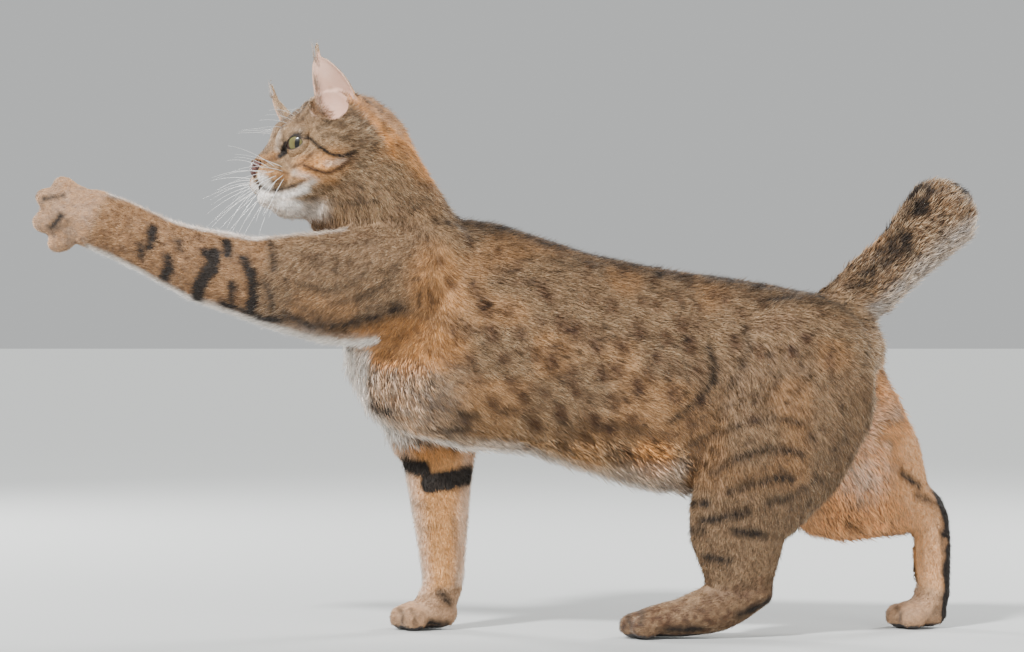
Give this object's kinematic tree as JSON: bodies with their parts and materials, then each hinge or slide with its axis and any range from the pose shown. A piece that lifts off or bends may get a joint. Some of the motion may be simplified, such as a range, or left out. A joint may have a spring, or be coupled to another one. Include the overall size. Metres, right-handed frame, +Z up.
{
  "type": "pixie-bob cat",
  "caption": "Life-size model of a pixie-bob cat on three legs, reaching forwards with its left forepaw, its bobbed tail raised.",
  "frame": {"origin": "on the floor under the middle of the cat's bounding box", "axes": "-X is the way the cat walks and reaches, -Y is its left side, +Z is up"},
  "size_m": [0.7058, 0.138, 0.4443],
  "materials": {
    "coat": "short ticked brown tabby fur",
    "ear_skin": "thin furred skin, pale pink inside",
    "eye": "wet and clear over a yellow-green iris",
    "nose_leather": "bare damp brick-brown skin"
  },
  "bodies": {
    "root": {"head": "coat", "neck": "coat", "torso": "coat", "tail": "coat", "upper_arm_left": "coat", "forearm_left": "coat", "forepaw_left": "coat", "foreleg_right": "coat", "forepaw_right": "coat", "thigh_left": "coat", "shank_left": "coat", "hindpaw_left": "coat", "thigh_right": "coat", "hock_right": "coat", "hindpaw_right": "coat", "ear_left": "ear_skin", "ear_right": "ear_skin", "eye_left": "eye", "eye_right": "eye", "nose": "nose_leather"}
  },
  "joints": []
}
